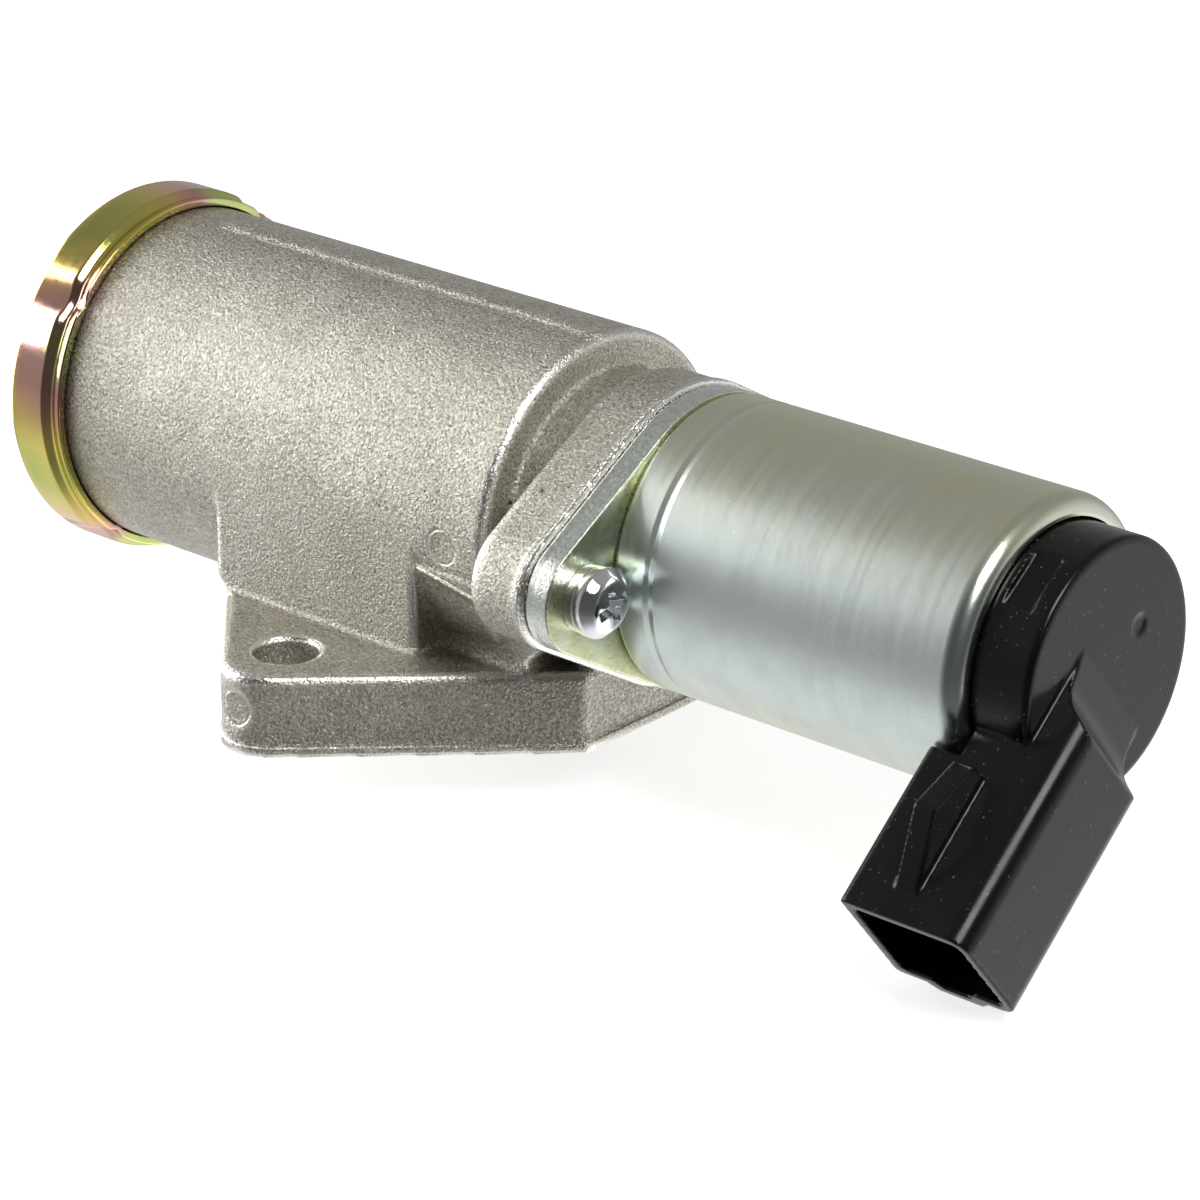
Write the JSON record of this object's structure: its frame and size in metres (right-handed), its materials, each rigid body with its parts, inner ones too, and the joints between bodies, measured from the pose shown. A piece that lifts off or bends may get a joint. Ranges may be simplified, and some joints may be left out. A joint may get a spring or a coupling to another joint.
{
  "type": "idle air control valve",
  "caption": "Solenoid idle air control valve: round die-cast canister with a crimped end cap, slanted mounting flange, plated coil can and an angled plastic connector.",
  "frame": {"origin": "on the mounting face, midway between its two bolt holes", "axes": "+X along the valve's axis towards the connector, -Z out of the mounting face, -Y the side that the connector leans to"},
  "size_m": [0.149, 0.0746, 0.0537],
  "materials": {
    "cast_aluminium": "blasted die casting, fine grain",
    "gold_zinc": "steel, yellow chromated zinc plating",
    "olive_zinc": "steel, olive yellow zinc plating",
    "clear_zinc": "drawn steel, clear zinc plating",
    "screw_zinc": "steel, bright zinc plating",
    "black_plastic": "satin glass filled nylon",
    "bobbin_plastic": "moulded nylon",
    "brass": "turned",
    "copper_wire": "enamelled copper winding",
    "bright_steel": "turned",
    "spring_steel": "drawn wire",
    "tin_plate": "tinned brass blade",
    "rubber": "moulded nitrile"
  },
  "bodies": {
    "housing": {"valve_housing": "cast_aluminium", "end_cap": "gold_zinc", "end_cap_seal": "rubber", "spring_cup": "bright_steel", "return_spring": "spring_steel", "valve_seat": "brass", "mounting_plate": "olive_zinc", "plate_o_ring": "rubber", "solenoid_can": "clear_zinc", "screw_front": "screw_zinc", "screw_rear": "screw_zinc", "lock_washer_front": "screw_zinc", "lock_washer_rear": "screw_zinc", "coil_bobbin": "bobbin_plastic", "coil_winding": "copper_wire", "fixed_core": "bright_steel", "stem_bush": "brass", "flux_washer": "bright_steel", "guide_sleeve": "bright_steel", "balance_spring": "spring_steel", "connector_cap": "black_plastic", "terminal_1": "tin_plate", "terminal_2": "tin_plate"},
    "valve": {"plunger": "bright_steel", "valve_stem": "bright_steel", "stem_clip": "spring_steel", "poppet": "brass", "poppet_seal": "rubber"}
  },
  "joints": [
    {"name": "valve_travel", "type": "slide", "parent": "housing", "child": "valve", "axis": [-1, 0, 0], "range_m": [0, 0.0035], "stiffness_N_per_m": 800, "springref_m": -0.003, "deforming": ["return_spring", "balance_spring"]}
  ]
}
